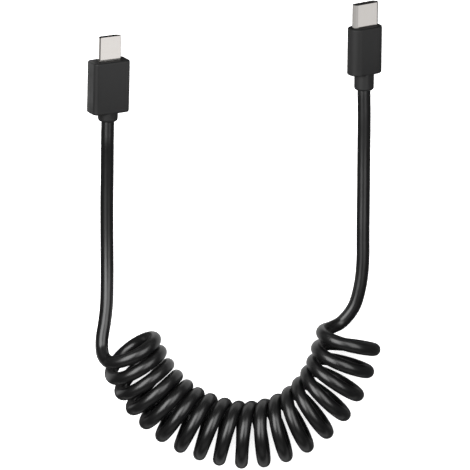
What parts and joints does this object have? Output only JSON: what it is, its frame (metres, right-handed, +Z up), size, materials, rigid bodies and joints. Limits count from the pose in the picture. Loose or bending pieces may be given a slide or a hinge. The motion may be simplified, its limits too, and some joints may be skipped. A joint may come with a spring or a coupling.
{
  "type": "coiled charging cable with a micro-B plug and a type-C plug",
  "caption": "Curly black charging and data cable: a springy coil between two straight leads, one ending in a micro-B plug and the other in a type-C plug.",
  "frame": {"origin": "on the surface that the cable lies on, below the centre of the whole cable", "axes": "+Y from the coil towards the plugs' tips, +X from the micro-B plug towards the type-C plug, +Z up"},
  "size_m": [0.0823, 0.132, 0.019],
  "materials": {
    "moulding": "fine matte black PVC moulding",
    "jacket": "smooth satin black cable jacket",
    "plated_steel": "nickel plated, satin",
    "gold_contact": "gold plated",
    "insulator": "moulded black insulator"
  },
  "bodies": {
    "root": {"micro_overmold": "moulding", "micro_shell": "plated_steel", "micro_tongue": "insulator", "micro_contact_1": "gold_contact", "micro_contact_2": "gold_contact", "micro_contact_3": "gold_contact", "micro_contact_4": "gold_contact", "micro_contact_5": "gold_contact", "micro_latch_1": "plated_steel", "micro_latch_2": "plated_steel", "micro_lead": "jacket", "curly_cord": "jacket", "type_c_lead": "jacket", "type_c_overmold": "moulding", "type_c_shell": "plated_steel", "type_c_liner": "insulator", "type_c_contact_a1": "gold_contact", "type_c_contact_a2": "gold_contact", "type_c_contact_a3": "gold_contact", "type_c_contact_a4": "gold_contact", "type_c_contact_a5": "gold_contact", "type_c_contact_a6": "gold_contact", "type_c_contact_a7": "gold_contact", "type_c_contact_a8": "gold_contact", "type_c_contact_a9": "gold_contact", "type_c_contact_a10": "gold_contact", "type_c_contact_a11": "gold_contact", "type_c_contact_a12": "gold_contact", "type_c_contact_b1": "gold_contact", "type_c_contact_b2": "gold_contact", "type_c_contact_b3": "gold_contact", "type_c_contact_b4": "gold_contact", "type_c_contact_b5": "gold_contact", "type_c_contact_b6": "gold_contact", "type_c_contact_b7": "gold_contact", "type_c_contact_b8": "gold_contact", "type_c_contact_b9": "gold_contact", "type_c_contact_b10": "gold_contact", "type_c_contact_b11": "gold_contact", "type_c_contact_b12": "gold_contact"}
  },
  "joints": []
}
